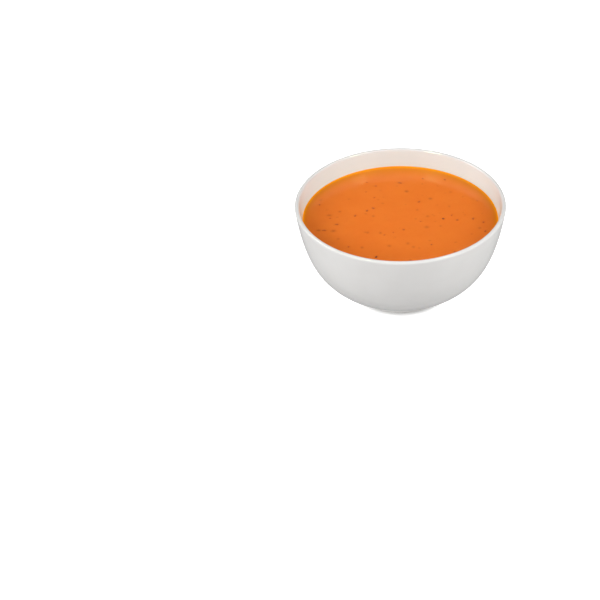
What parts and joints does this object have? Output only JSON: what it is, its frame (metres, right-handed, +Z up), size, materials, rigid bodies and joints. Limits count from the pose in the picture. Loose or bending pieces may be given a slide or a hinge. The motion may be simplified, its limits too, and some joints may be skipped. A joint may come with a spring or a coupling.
{
  "type": "bowl of tomato soup",
  "caption": "Round porcelain bowl on a foot ring, filled with smooth tomato soup to a finger's width below its rounded rim, with dried herb flecks floating on it.",
  "frame": {"origin": "middle of the foot ring, on the surface that the bowl stands on", "axes": "+Z up along the bowl's axis of revolution; +Y points away from the side that is seen first, +X to its right"},
  "size_m": [0.15, 0.15, 0.073],
  "materials": {
    "porcelain": "gloss",
    "soup": "gloss",
    "herbs": "satin"
  },
  "bodies": {
    "root": {"bowl": "porcelain", "soup": "soup"}
  },
  "joints": []
}
